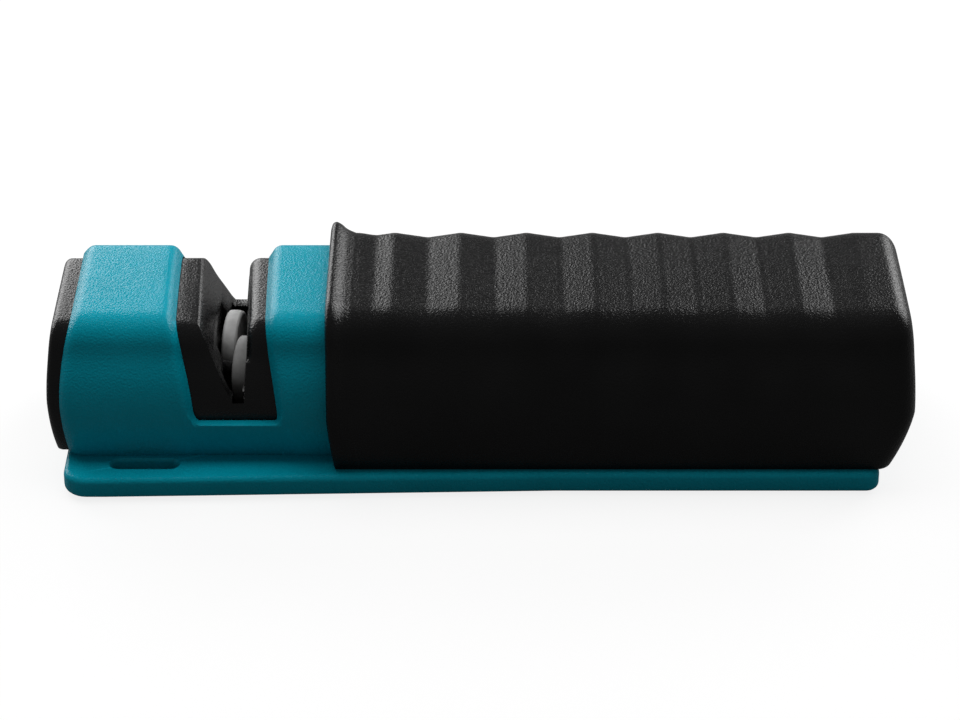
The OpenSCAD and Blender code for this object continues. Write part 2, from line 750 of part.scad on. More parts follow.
module grip_sleeve() {
    wave_xs = [for (x = [rim_x + rim_w + wave_pitch / wave_steps : wave_pitch / wave_steps : end_x - end_round / 4]) x];
    outer = concat(
        [for (q = rim_shares) ring(swell(grip_loaf, q[1] * rim_h), rim_x + q[0] * rim_w, rim_up, rim_down)],
        [for (x = wave_xs) grip_ring(x, 0, true)],
        [for (a = [0, 30, 60, 80]) grip_ring(end_x + end_round * sin(a), end_round * (1 - cos(a)), false)]);
    count = len(outer);
    start_x = rim_x + rim_w;
    run = tip_right_x - grip_wall - start_x;
    inner = [for (j = [0 : count - 1])
        j < neck_rings ? ring(sleeve_neck, rim_x + rim_w * j / neck_rings, rim_up, rim_down)
        : grip_ring(start_x + run * (j - neck_rings) / (count - 1 - neck_rings), grip_wall, false)];
    color(black)
    skin(outer, inner, close_end = true);
}

base_plate();
head_shell();
end_cap();
knife_guide();
wheel_cradle();
rear_wheel();
front_wheel();
rear_bush();
front_bush();
rear_axle();
front_axle();
rear_washers();
front_washers();
left_block();
right_block();
grip_core();
grip_sleeve();
head_screws();
grip_screws();
short_screws();
rubber_feet();
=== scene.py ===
import math
from collections import namedtuple

import bmesh
import bpy
from mathutils import Matrix, Vector


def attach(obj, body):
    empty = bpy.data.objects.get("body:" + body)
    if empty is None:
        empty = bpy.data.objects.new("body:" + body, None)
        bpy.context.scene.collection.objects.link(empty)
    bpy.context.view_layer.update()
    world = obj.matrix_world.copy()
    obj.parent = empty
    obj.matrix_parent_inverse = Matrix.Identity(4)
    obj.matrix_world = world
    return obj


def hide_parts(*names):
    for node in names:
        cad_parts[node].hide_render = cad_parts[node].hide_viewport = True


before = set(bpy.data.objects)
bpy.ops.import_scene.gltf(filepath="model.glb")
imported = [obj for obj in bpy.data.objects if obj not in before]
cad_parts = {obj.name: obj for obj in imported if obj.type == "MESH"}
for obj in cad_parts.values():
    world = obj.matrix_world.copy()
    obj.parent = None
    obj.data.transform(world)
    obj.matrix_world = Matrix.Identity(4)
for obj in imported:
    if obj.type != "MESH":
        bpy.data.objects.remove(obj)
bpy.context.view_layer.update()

MM = 0.001

# ---------- sizes of the CAD source, in millimetres ----------
HEAD_X, RIM_X, TIP_LEFT, TIP_RIGHT = -89.45, -32.55, -92.45, 92.45
PLATE_Z, FLOOR_Z = 0.6, 5.4  # the plate's underside and its top
HEAD_H, GRIP_H = 31.5, 33.6
SHOULDER_SHARE, WIDE_SHARE, BEND_SHARE = 0.77, 0.42, 0.955
TUCK_POWER = 1.2
WALL, GAP, GUIDE_GAP = 2.1, 0.3, 0.25
WINDOW_LEFT, WINDOW_RIGHT = -64.65, -43.35
SILL_Z = FLOOR_Z + 9.2
SHELL_RIGHT = RIM_X + 3.8
SLOT_LEFT, SLOT_RIGHT, BLADE_X = -60.65, -49.85, -52.442
GUIDE_LEFT, GUIDE_RIGHT = -67.05, -41.15
LIP_Z = FLOOR_Z + 14.5
AXLE_H, WHEEL_R, WHEEL_ROOM = 12.4, 7.4, 0.7
REAR_AXLE = (-0.053942, 0.0058, 0.0178)  # in metres, as in the frame
FRONT_AXLE = (-0.050942, -0.0058, 0.0178)

# A cross-section of the head or the grip: half widths at the foot, the widest, the shoulder, the
# shoulder's bend and the flat top, then the heights of the shoulder and the top
Loaf = namedtuple("Loaf", "foot wide shoulder bend flat shoulder_z top_z")


def new_loaf(foot, wide, shoulder, flat, height):
    """A loaf that stands on the plate, with its height measured from there."""
    return Loaf(foot, wide, shoulder, shoulder * BEND_SHARE, flat,
                FLOOR_Z + SHOULDER_SHARE * height, FLOOR_Z + height)


HEAD_LOAF = new_loaf(21.3, 24.8, 21.0, 13.4, HEAD_H)
GRIP_LOAF = new_loaf(27.1, 28.2, 23.6, 14.5, GRIP_H)
WIDE_Z = FLOOR_Z + WIDE_SHARE * HEAD_H

# ---------- outlines, as in the CAD source, with more points ----------
SIDE_N, SHOULDER_N, FLAT_N, SILL_ROW = 24, 18, 6, 12
HALF_N = SIDE_N + SHOULDER_N + FLAT_N
RING_N = 2 * HALF_N + 1
FLAT_INSET, SHOULDER_INSET = 0.5, 0.6
CROWN = 0.012
EASE_PASSES, EASE_REACH = 4, 3


def inset(p, d):
    """The loaf set in by d."""
    return Loaf(p.foot - d, p.wide - d, p.shoulder - d, p.bend - d, p.flat - d * FLAT_INSET,
                p.shoulder_z - d * SHOULDER_INSET, p.top_z - d)


def swell(p, d):
    """The loaf swollen by d everywhere but at its foot."""
    return Loaf(p.foot, p.wide + d * SHOULDER_INSET, p.shoulder + d, p.bend + d,
                p.flat + d * FLAT_INSET, p.shoulder_z + d * SHOULDER_INSET, p.top_z + d)


def bezier(a, b, c, t):
    return tuple((1 - t) ** 2 * a[i] + 2 * t * (1 - t) * b[i] + t * t * c[i] for i in (0, 1))


def half_point(p, k, t_sill):
    """Point k of half an outline, with row SILL_ROW at the share t_sill of the side."""
    foot, shoulder = (p.foot, FLOOR_Z), (p.shoulder, p.shoulder_z)
    bulge = (2 * p.wide - (p.foot + p.shoulder) / 2, (FLOOR_Z + p.shoulder_z) / 2)
    if k <= SILL_ROW:
        return bezier(foot, bulge, shoulder, t_sill * k / SILL_ROW)
    if k <= SIDE_N:
        t = t_sill + (1 - t_sill) * (k - SILL_ROW) / (SIDE_N - SILL_ROW)
        return bezier(foot, bulge, shoulder, t)
    if k <= SIDE_N + SHOULDER_N:
        bend, flat = ((p.shoulder + p.bend) / 2, p.top_z), (p.flat, p.top_z)
        return bezier(shoulder, bend, flat, (k - SIDE_N) / SHOULDER_N)
    s = 1 - (k - SIDE_N - SHOULDER_N) / FLAT_N
    return (p.flat * s, p.top_z + CROWN * p.flat * (1 - s * s))


def half_outline(p, t_sill):
    """Half an outline, with the kink between the side and the shoulder eased."""
    points = [half_point(p, k, t_sill) for k in range(HALF_N + 1)]
    for _ in range(EASE_PASSES):
        eased = list(points)
        for k in range(SIDE_N - EASE_REACH, SIDE_N + EASE_REACH + 1):
            before, here, after = points[k - 1:k + 2]
            eased[k] = tuple((before[c] + 2 * here[c] + after[c]) / 4 for c in (0, 1))
        points = eased
    return points


def row_of(i):
    """The row of half an outline that point i of a whole one lies on."""
    return i if i <= HALF_N else RING_N - 1 - i


def outline(p, t_sill=0.5):
    """A whole outline as (y, z), from the front foot over the top to the back foot."""
    half = half_outline(p, t_sill)
    return [(-half[row_of(i)][0] if i <= HALF_N else half[row_of(i)][0], half[row_of(i)][1])
            for i in range(RING_N)]


def tuck_up(p, z):
    """How much the draw-in of the top acts at the height z, from 0 to 1."""
    return (max(0.0, z - WIDE_Z) / (p.top_z - WIDE_Z)) ** 2


def tuck_down(z):
    """How much the draw-in of the foot acts at the height z, from 0 to 1."""
    return (max(0.0, WIDE_Z - z) / (WIDE_Z - FLOOR_Z)) ** TUCK_POWER


def ring(p, x, up, down, lean=0.0, t_sill=0.5, skew=0.0):
    """An outline at x: the top drawn in by up, the foot by down and leaning by lean, all along X,
    and the whole skewed in plan by an angle."""
    turn = math.tan(math.radians(skew))
    rise = p.shoulder_z - FLOOR_Z
    return [(x + up * tuck_up(p, z) + down * tuck_down(z) + lean * max(0.0, p.shoulder_z - z) / rise
             - y * turn, y, z) for y, z in outline(p, t_sill)]


# ---------- small maths ----------
def lerp(a, b, t):
    return a + (b - a) * t


def between(a, b, t):
    """Two rows of values, blended."""
    return tuple(lerp(p, q, t) for p, q in zip(a, b))


def cos_sin(degrees):
    a = math.radians(degrees)
    return math.cos(a), math.sin(a)


def spline(keys, u):
    """A smooth curve through (u, value) keys."""
    for k in range(len(keys) - 1):
        if u <= keys[k + 1][0]:
            break
    p1, p2 = keys[k], keys[k + 1]
    p0 = keys[k - 1] if k else p1
    p3 = keys[k + 2] if k + 2 < len(keys) else p2
    t = (u - p1[0]) / (p2[0] - p1[0])
    m1 = (p2[1] - p0[1]) / (p2[0] - p0[0]) * (p2[0] - p1[0])
    m2 = (p3[1] - p1[1]) / (p3[0] - p1[0]) * (p2[0] - p1[0])
    return ((2 * t ** 3 - 3 * t * t + 1) * p1[1] + (t ** 3 - 2 * t * t + t) * m1
            + (3 * t * t - 2 * t ** 3) * p2[1] + (t ** 3 - t * t) * m2)


# ---------- mesh helpers ----------
MERGE_DISTANCE, EDGE_ANGLE = 1e-7, 35
OVER = 1.0  # how far a cutter reaches past the face that it cuts


def add_object(name, data):
    obj = bpy.data.objects.new(name, data)
    bpy.context.scene.collection.objects.link(obj)
    return obj


def mesh_object(name, points, faces):
    """An object from points in millimetres, with doubles merged and the faces turned outwards."""
    mesh = bpy.data.meshes.new(name)
    mesh.from_pydata([(x * MM, y * MM, z * MM) for x, y, z in points], [], faces)
    mesh.validate()
    bm = bmesh.new()
    bm.from_mesh(mesh)
    bmesh.ops.remove_doubles(bm, verts=bm.verts, dist=MERGE_DISTANCE)
    bmesh.ops.recalc_face_normals(bm, faces=bm.faces)
    bm.to_mesh(mesh)
    bm.free()
    return add_object(name, mesh)


def smooth(obj, angle):
    """Shades smooth, with edges sharper than the angle kept."""
    mesh = obj.data
    mesh.polygons.foreach_set("use_smooth", [True] * len(mesh.polygons))
    mesh.set_sharp_from_angle(angle=math.radians(angle))


def bake(obj):
    """Applies all modifiers of an object."""
    depsgraph = bpy.context.evaluated_depsgraph_get()
    mesh = bpy.data.meshes.new_from_object(obj.evaluated_get(depsgraph))
    obj.modifiers.clear()
    old = obj.data
    obj.data = mesh
    bpy.data.meshes.remove(old)


def cut(obj, cutters):
    """Cuts the cutters out of an object, one after the other, and deletes them."""
    for cutter in cutters:
        modifier = obj.modifiers.new("cut", "BOOLEAN")
        modifier.operation = "DIFFERENCE"
        modifier.object = cutter
        modifier.solver = "EXACT"
        bake(obj)
        mesh = cutter.data
        bpy.data.objects.remove(cutter)
        bpy.data.meshes.remove(mesh)


def round_edges(obj, width, segments):
    """Adds a rounding of all edges that are sharper than EDGE_ANGLE."""
    modifier = obj.modifiers.new("edges", "BEVEL")
    modifier.width = width * MM
    modifier.segments = segments
    modifier.limit_method = "ANGLE"
    modifier.angle_limit = math.radians(EDGE_ANGLE)
    modifier.use_clamp_overlap = True


def bevel_where(obj, pick, width, segments):
    """Rounds the edges that pick chooses."""
    bm = bmesh.new()
    bm.from_mesh(obj.data)
    edges = [e for e in bm.edges if pick(e)]
    bmesh.ops.bevel(bm, geom=edges, offset=width * MM, offset_type="OFFSET", segments=segments,
                    profile=0.5, affect="EDGES", clamp_overlap=False)
    bm.to_mesh(obj.data)
    bm.free()


def skin(name, outer, inner, hole=(0, 0), close_start=False, close_end=False):
    """A closed skin between rows of outer and inner rings, as in the CAD source.

    Between the rings of hole it stays open above row SILL_ROW."""
    m, n = len(outer), RING_N
    inn = m * n

    def cell(j, i):
        if not (0 <= j < m - 1 and 0 <= i < n - 1):
            return False
        return not (hole[0] <= j < hole[1] and SILL_ROW <= i < n - 1 - SILL_ROW)

    def at(j, i):
        return j * n + i

    faces = []
    for j in range(m - 1):
        for i in range(n - 1):
            if cell(j, i):
                a, b, c, d = at(j, i), at(j, i + 1), at(j + 1, i + 1), at(j + 1, i)
                faces += [(a, b, c, d), (inn + a, inn + d, inn + c, inn + b)]
    for j in range(m):
        closed = (j == 0 and close_start) or (j == m - 1 and close_end)
        for i in range(n - 1):
            if cell(j, i) != cell(j - 1, i) and not closed:
                faces.append((at(j, i), at(j, i + 1), inn + at(j, i + 1), inn + at(j, i)))
    for j in range(m - 1):
        for i in range(n):
            if cell(j, i) != cell(j, i - 1):
                faces.append((at(j, i), at(j + 1, i), inn + at(j + 1, i), inn + at(j, i)))
    for closed, j in ((close_start, 0), (close_end, m - 1)):
        if closed:
            for start in (at(j, 0), inn + at(j, 0)):
                for i in range(HALF_N):
                    a, b, c, d = start + i, start + i + 1, start + n - 2 - i, start + n - 1 - i
                    faces.append((a, b, d) if b == c else (a, b, c, d))
            faces.append((at(j, 0), at(j, n - 1), inn + at(j, n - 1), inn + at(j, 0)))
    return mesh_object(name, [p for rings in (outer, inner) for r in rings for p in r], faces)


def prism_x(name, points, x0, x1):
    """A prism along X from an outline of (y, z) points."""
    n = len(points)
    verts = [(x0, y, z) for y, z in points] + [(x1, y, z) for y, z in points]
    faces = [tuple(range(n)), tuple(range(2 * n - 1, n - 1, -1))]
    faces += [(i, (i + 1) % n, n + (i + 1) % n, n + i) for i in range(n)]
    return mesh_object(name, verts, faces)


def box_piece(name, low, high):
    """A box between two corners."""
    x0, y0, z0 = low
    x1, y1, z1 = high
    verts = [(x, y, z) for x in (x0, x1) for y in (y0, y1) for z in (z0, z1)]
    faces = [(0, 1, 3, 2), (4, 6, 7, 5), (0, 4, 5, 1), (2, 3, 7, 6), (0, 2, 6, 4), (1, 5, 7, 3)]
    return mesh_object(name, verts, faces)


def stack(name, rings):
    """A closed solid from rings of equal count, capped at both ends."""
    n, m = len(rings[0]), len(rings)
    verts = [p for r in rings for p in r]
    faces = [tuple(range(n)), tuple(range(m * n - 1, (m - 1) * n - 1, -1))]
    for j in range(m - 1):
        for i in range(n):
            k = (i + 1) % n
            faces.append((j * n + i, j * n + k, (j + 1) * n + k, (j + 1) * n + i))
    return mesh_object(name, verts, faces)


# ---------- materials ----------
# Moulded grain: a coarse noise, COARSE_SIZE times the fine one, adds COARSE_SHARE of its height
FINE_DETAIL, COARSE_SIZE, COARSE_SHARE = 1.5, 3.2, 0.15
CLOUD_LIFT = 0.002
# Painted highlight on convex edges: gain and lift of the paler colour, its largest share, and the
# pointiness range where it starts and is full
EDGE_HIGHLIGHT_GAIN, EDGE_HIGHLIGHT_LIFT, EDGE_HIGHLIGHT_SHARE, EDGE_HIGHLIGHT_FROM, EDGE_HIGHLIGHT_TO = 1.5, 0.01, 0.6, 0.52, 0.6
# Ceramic: the grinding rings' scale, distortion and share of the height, where the haze starts and
# ends, and its two colours
RING_SCALE, RING_DISTORTION, RING_SHARE = 900, 1.5, 0.25
HAZE_FROM, HAZE_TO = 0.35, 0.75
CERAMIC_PALE, CERAMIC_GRAY = (0.72, 0.72, 0.715), (0.5, 0.5, 0.495)
# Steel: the stretch of the scratches along X, its roughness and its two colours
SCRATCH_STRETCH, STEEL_SHINY, STEEL_DULL = 6, 0.22, 0.42
STEEL_PALE, STEEL_OXIDE = (0.58, 0.58, 0.59), (0.46, 0.45, 0.44)
# Noises as (scale, detail, roughness), and bumps as (strength, distance)
CLOUD_NOISE = (60, 3)
GRIT_NOISE, HAZE_NOISE = (4200, 3, 0.6), (420, 4, 0.6)
SCRATCH_NOISE, OXIDE_NOISE = (700, 4, 0.6), (150, 3)
CERAMIC_BUMP, STEEL_BUMP = (0.6, 0.00003), (0.4, 0.00001)


def new_material(name, color, roughness, specular=0.5):
    material = bpy.data.materials.new(name)
    material.use_nodes = True
    nodes = material.node_tree.nodes
    shader = nodes["Principled BSDF"]
    shader.inputs["Base Color"].default_value = (*color, 1)
    shader.inputs["Roughness"].default_value = roughness
    shader.inputs["Specular IOR Level"].default_value = specular
    return material, nodes, material.node_tree.links, shader


def noise(nodes, links, coordinates, scale, detail=2.0, roughness=0.5):
    node = nodes.new("ShaderNodeTexNoise")
    node.inputs["Scale"].default_value = scale
    node.inputs["Detail"].default_value = detail
    node.inputs["Roughness"].default_value = roughness
    links.new(coordinates, node.inputs["Vector"])
    return node.outputs["Fac"]


def spread(nodes, links, value, low, high, from_min=0.3, from_max=0.7):
    """Maps a value from one range to another."""
    node = nodes.new("ShaderNodeMapRange")
    node.inputs["From Min"].default_value = from_min
    node.inputs["From Max"].default_value = from_max
    node.inputs["To Min"].default_value = low
    node.inputs["To Max"].default_value = high
    links.new(value, node.inputs["Value"])
    return node.outputs["Result"]


def blend_colors(nodes, links, factor, first, second):
    """Blends two colours, of which the first may be an output of another node."""
    node = nodes.new("ShaderNodeMix")
    node.data_type = "RGBA"
    if isinstance(first, tuple):
        node.inputs["A"].default_value = (*first, 1)
    else:
        links.new(first, node.inputs["A"])
    node.inputs["B"].default_value = (*second, 1)
    links.new(factor, node.inputs["Factor"])
    return node.outputs["Result"]


def add_heights(nodes, links, base, extra, share):
    """The height base plus a share of the height extra."""
    node = nodes.new("ShaderNodeMath")
    node.operation = "MULTIPLY_ADD"
    node.inputs[1].default_value = share
    links.new(extra, node.inputs[0])
    links.new(base, node.inputs[2])
    return node.outputs[0]


def bumps(nodes, links, shader, height, strength, distance):
    node = nodes.new("ShaderNodeBump")
    node.inputs["Strength"].default_value = strength
    node.inputs["Distance"].default_value = distance
    links.new(height, node.inputs["Height"])
    links.new(node.outputs["Normal"], shader.inputs["Normal"])


def moulded(name, color, roughness, grain=0.00045, depth=0.00004, tint=0.12, specular=0.5,
            rough_spread=0.1):
    """Moulded plastic with a spark-eroded grain: pits in the surface, more shine on the peaks,
    a faint cloudy tint, and convex edges made paler as a painted highlight."""
    material, nodes, links, shader = new_material(name, color, roughness, specular)
    place = nodes.new("ShaderNodeTexCoord").outputs["Object"]
    fine = noise(nodes, links, place, 1 / grain, FINE_DETAIL)
    coarse = noise(nodes, links, place, 1 / (grain * COARSE_SIZE))
    cloud = noise(nodes, links, place, *CLOUD_NOISE)
    bumps(nodes, links, shader, add_heights(nodes, links, fine, coarse, COARSE_SHARE), 1.0, depth)
    links.new(spread(nodes, links, fine, roughness + rough_spread, roughness - rough_spread),
              shader.inputs["Roughness"])
    tinted = blend_colors(nodes, links, spread(nodes, links, cloud, 0.0, 1.0),
                          tuple(c * (1 - tint) for c in color),
                          tuple(c * (1 + tint) + CLOUD_LIFT for c in color))
    # Painted highlight: convex edges, picked by pointiness, turn paler
    pointiness = nodes.new("ShaderNodeNewGeometry").outputs["Pointiness"]
    painted_edge_highlight = blend_colors(nodes, links,
                        spread(nodes, links, pointiness, 0.0, EDGE_HIGHLIGHT_SHARE, EDGE_HIGHLIGHT_FROM, EDGE_HIGHLIGHT_TO),
                        tinted, tuple(min(1.0, c * EDGE_HIGHLIGHT_GAIN + EDGE_HIGHLIGHT_LIFT) for c in color))
    links.new(painted_edge_highlight, shader.inputs["Base Color"])
    return material


def ceramic_material(name, centre, shade_tone=1.0):
    """Fired ceramic: fine grit, faint grinding rings round the axle and a grey metal haze; the last
    argument scales the whole colour down as painted shade.
    """
    material, nodes, links, shader = new_material(name, (0.72, 0.71, 0.69), roughness=0.55,
                                                 specular=0.4)
    place = nodes.new("ShaderNodeTexCoord").outputs["Object"]
    grit = noise(nodes, links, place, *GRIT_NOISE)
    haze = noise(nodes, links, place, *HAZE_NOISE)
    offset = nodes.new("ShaderNodeVectorMath")
    offset.operation = "SUBTRACT"
    offset.inputs[1].default_value = centre
    links.new(place, offset.inputs[0])
    rings = nodes.new("ShaderNodeTexWave")
    rings.wave_type = "RINGS"
    rings.rings_direction = "X"
    rings.inputs["Scale"].default_value = RING_SCALE
    rings.inputs["Distortion"].default_value = RING_DISTORTION
    links.new(offset.outputs[0], rings.inputs["Vector"])
    height = add_heights(nodes, links, grit, rings.outputs["Fac"], RING_SHARE)
    bumps(nodes, links, shader, height, *CERAMIC_BUMP)
    color = blend_colors(nodes, links, spread(nodes, links, haze, 0.0, 1.0, HAZE_FROM, HAZE_TO),
                         tuple(c * shade_tone for c in CERAMIC_PALE),
                         tuple(c * shade_tone for c in CERAMIC_GRAY))
    links.new(color, shader.inputs["Base Color"])
    return material


def steel_material():
    """Drawn steel: fine scratches along X and a slight oxide tint."""
    material, nodes, links, shader = new_material("steel", (0.55, 0.55, 0.56), roughness=0.3)
    shader.inputs["Metallic"].default_value = 1.0
    place = nodes.new("ShaderNodeTexCoord").outputs["Object"]
    stretch = nodes.new("ShaderNodeMapping")
    stretch.inputs["Scale"].default_value = (1, SCRATCH_STRETCH, SCRATCH_STRETCH)
    links.new(place, stretch.inputs["Vector"])
    scratch = noise(nodes, links, stretch.outputs["Vector"], *SCRATCH_NOISE)
    links.new(spread(nodes, links, scratch, STEEL_SHINY, STEEL_DULL), shader.inputs["Roughness"])
    bumps(nodes, links, shader, scratch, *STEEL_BUMP)
    oxide = noise(nodes, links, place, *OXIDE_NOISE)
    color = blend_colors(nodes, links, spread(nodes, links, oxide, 0.0, 1.0),
                         STEEL_PALE, STEEL_OXIDE)
    links.new(color, shader.inputs["Base Color"])
    return material


teal = moulded("teal_plastic", (0.0005, 0.37, 0.49), 0.24, depth=0.00014, tint=0.04, specular=0.11,
               rough_spread=0.12)
black = moulded("black_plastic", (0.006, 0.006, 0.0063), 0.24, depth=0.00013, specular=0.26)
grip_black = moulded("soft_grip", (0.006, 0.006, 0.0062), 0.24, depth=0.00014, specular=0.19,
                     rough_spread=0.13)
nylon = moulded("nylon", (0.62, 0.6, 0.55), 0.45, grain=0.0008, tint=0.05)
rubber = moulded("rubber", (0.022, 0.022, 0.023), 0.75, grain=0.0003, specular=0.3)
steel = steel_material()
ceramic_rear = ceramic_material("ceramic_rear", REAR_AXLE)
# The front wheel's colour is darkened to 0.6 as painted shade
ceramic_front = ceramic_material("ceramic_front", FRONT_AXLE, shade_tone=0.6)


def set_material(obj, material):
    obj.data.materials.clear()
    obj.data.materials.append(material)


def dress(obj, material, node, sharp):
    """Shades a piece smooth up to the angle sharp, gives it its material, attaches it to the body
    and hides the CAD node that it stands for."""
    smooth(obj, sharp)
    set_material(obj, material)
    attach(obj, "body")
    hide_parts(node)


# ---------- head shell ----------
# How far the top and the foot of the left edge are drawn in, and the window's skew in degrees
HEAD_UP, HEAD_DOWN = 2.4, 1.1
SKEW = 1.5
# Draw-in of the top, lean of the foot and corner radius, left and right of the window
WINDOW_UP = (-2.1, -1.0)
LEAN = (2.6, 2.4)
SILL_R = (2.7, 2.3)
EDGE_ROW = SILL_Z + SILL_R[0]
BEVEL, SILL_BEVEL, SILL_EASE = 1.7, 0.4, 1.5
WINDOW_DROP = 0.3
# The rounded edge of the window, as (way into the window, drop)
WINDOW_EDGE = [(-1.3, 0.0), (-0.95, 0.015), (-0.6, 0.07), (-0.25, 0.18), (0.1, 0.35), (0.4, 0.57),
               (0.68, 0.85), (0.9, 1.15)]
# The rounded left edge of the shell, and the row between it and the window
EDGE_DROP, EDGE_RUN, EDGE_STEPS = 1.5, 2.5, 6
MIDDLE_RUN = 12.4
BLEND_STEPS, SILL_STEPS, RIGHT_STEPS, CORNER_STEP = 6, 8, 4, 9
SHELL_EDGE, SHELL_EDGE_STEPS = 0.2, 2


def side_t(p, z):
    """The share of the side, up to the shoulder, at the height z."""
    return (z - FLOOR_Z) / (p.shoulder_z - FLOOR_Z)


def shell_rings():
    """Rings as (x, up, down, lean, drop above the sill row, shift of the inner ring, height of the
    sill row, skew), and the numbers of the window's first and last ring."""
    rows = []

    def left(dx, drop, shift=0.0, row_z=EDGE_ROW):
        return (WINDOW_LEFT + dx, WINDOW_UP[0], 0, LEAN[0], drop, shift, row_z, SKEW)

    def right(dx, drop, shift=0.0, row_z=EDGE_ROW):
        return (WINDOW_RIGHT - dx, WINDOW_UP[1], 0, LEAN[1], drop, -shift, row_z, SKEW)

    def blend(a, b, steps):
        rows.extend(between(a, b, k / steps) for k in range(1, steps + 1))

    for k in range(EDGE_STEPS + 1):
        u = k / EDGE_STEPS
        rows.append((HEAD_X + EDGE_RUN * u, HEAD_UP, HEAD_DOWN, 0, EDGE_DROP * (1 - u) ** 2, 0,
                     EDGE_ROW, 0))
    middle = (HEAD_X + MIDDLE_RUN, HEAD_UP / 2, HEAD_DOWN / 2, 0, 0, 0, EDGE_ROW, 0)
    blend(rows[-1], middle, BLEND_STEPS)
    edge_dx, edge_drop = WINDOW_EDGE[-1]
    rest = BEVEL - edge_dx
    blend(middle, left(*WINDOW_EDGE[0]), BLEND_STEPS)
    rows.extend(left(dx, drop, rest if dx == edge_dx else 0) for dx, drop in WINDOW_EDGE[1:])
    first = len(rows) - 1
    r = SILL_R[0]
    for a in range(CORNER_STEP, 91, CORNER_STEP):
        c, s = cos_sin(a)
        rows.append(left(edge_dx * c + r * (1 - c), lerp(WINDOW_DROP, edge_drop, c), rest * c,
                         SILL_Z + r * (1 - s)))
    start, r = rows[-1], SILL_R[1]
    end = right(r, WINDOW_DROP, 0, SILL_Z)
    rows.extend(between(start, end, k / SILL_STEPS) for k in range(1, SILL_STEPS))
    for a in range(90, -1, -CORNER_STEP):
        c, s = cos_sin(a)
        row_z = SILL_Z + r * (1 - s) + (EDGE_ROW - SILL_Z - r) * (1 - s) ** 3
        rows.append(right(edge_dx * c + r * (1 - c), lerp(WINDOW_DROP, edge_drop, c), rest * c,
                          row_z))
    last = len(rows) - 1
    rows.extend(right(dx, drop) for dx, drop in reversed(WINDOW_EDGE[:-1]))
    blend(rows[-1], (SHELL_RIGHT, 0, 0, 0, 0, 0, EDGE_ROW, 0), RIGHT_STEPS)
    return rows, (first, last)


def make_head():
    rows, hole = shell_rings()
    outer, inner = [], []
    for x, up, down, lean, drop, shift, row_z, skew in rows:
        p = inset(HEAD_LOAF, drop)
        points = ring(p, x, up, down, lean, side_t(p, row_z), skew)
        if skew:
            # Below the sill row the window's edge drops less
            p = inset(HEAD_LOAF, min(drop, WINDOW_DROP))
            low = ring(p, x, up, down, lean, side_t(p, row_z), skew)
            points = [high if row_of(i) >= SILL_ROW else below
                      for i, (high, below) in enumerate(zip(points, low))]
        outer.append(points)
        p = inset(HEAD_LOAF, WALL)
        sill = SILL_BEVEL * min(1.0, SILL_EASE * (EDGE_ROW - row_z) / SILL_R[0])
        inner.append(ring(p, x + shift, up, down, lean, side_t(p, row_z + sill), skew))
    obj = skin("head_shell_piece", outer, inner, hole)
    round_edges(obj, SHELL_EDGE, SHELL_EDGE_STEPS)
    bake(obj)
    dress(obj, teal, "head_shell", sharp=40)


# ---------- end cap ----------
CAP_ROUND, CAP_WALL, CAP_UP, CAP_DOWN, CAP_IN = 1.6, 2.0, 1.1, 1.2, 7
CAP_ROUND_STEPS, CAP_OUT_STEPS, CAP_IN_STEPS = 8, 4, 3
# How many walls deep the inner skin lies behind the face's edge and behind the head's edge
CAP_DEEP, CAP_DEEP_HEAD = 1.5, 1.2


def make_cap():
    """The cap from rows of (x, inset, x of the inner ring, up, down)."""
    section = inset(HEAD_LOAF, WALL + GAP)
    rows = []
    for k in range(CAP_ROUND_STEPS + 1):
        c, s = cos_sin(90 * k / CAP_ROUND_STEPS)
        deep = 1 + (CAP_DEEP - 1) * k / CAP_ROUND_STEPS
        rows.append((TIP_LEFT + CAP_ROUND * (1 - c), CAP_ROUND * (1 - s),
                     TIP_LEFT + CAP_WALL * deep, CAP_UP, CAP_DOWN))
    edge = (TIP_LEFT + CAP_ROUND, 0, TIP_LEFT + CAP_WALL * CAP_DEEP, CAP_UP, CAP_DOWN)
    at_head = (HEAD_X + CAP_WALL, 0, HEAD_X + CAP_WALL * CAP_DEEP_HEAD, HEAD_UP, HEAD_DOWN)
    end = (HEAD_X + CAP_IN, 0, HEAD_X + CAP_IN, 0, 0)
    rows += [between(edge, at_head, k / CAP_OUT_STEPS) for k in range(1, CAP_OUT_STEPS + 1)]
    rows += [between(at_head, end, k / CAP_IN_STEPS) for k in range(1, CAP_IN_STEPS + 1)]
    outer = [ring(inset(section, d), x, up, down) for x, d, _, up, down in rows]
    inner = [ring(inset(section, CAP_WALL), x, up, down) for _, _, x, up, down in rows]
    obj = skin("end_cap_piece", outer, inner, close_start=True)
    dress(obj, black, "end_cap", sharp=50)


# ---------- knife guide ----------
GUIDE_LOAF = inset(HEAD_LOAF, WALL + GUIDE_GAP)
GUIDE_TOP = GUIDE_LOAF.top_z
GUIDE_WALL, GUIDE_EDGE, GUIDE_EDGE_STEPS = 2.9, 0.35, 3
GUIDE_FLOOR = FLOOR_Z + 0.8
CRADLE_LEFT, CRADLE_HALF, CRADLE_H = -61.85, 10.4, 14.2
CRADLE_RIGHT = 2 * BLADE_X - CRADLE_LEFT
SLOT_HALF, SLOT_SKEW, SLOT_REACH, SLOT_OVER = 1.3, 2.4, 26, 1.2
# The left lobe slopes down by LOBE_DROP over LOBE_SLOPE to the slot's edge
LOBE_DROP, LOBE_SLOPE = 0.35, 1.9
# The left flank below that edge, as (share of the way to the lip, share of the rise)
FLANK_KEYS = [(0.06, 0.95), (0.14, 0.88), (0.26, 0.76), (0.55, 0.42), (0.88, 0.08), (1.0, 0.0)]
FLANK_STEPS = 16
# The ramp in the lip, as (y, height above the lip), and half its width
RAMP, RAMP_HALF = [(-19.0, 1.0), (-19.0, -3.0), (-22.9, -0.6), (-25.0, -0.6), (-25.0, 1.0)], 1.25
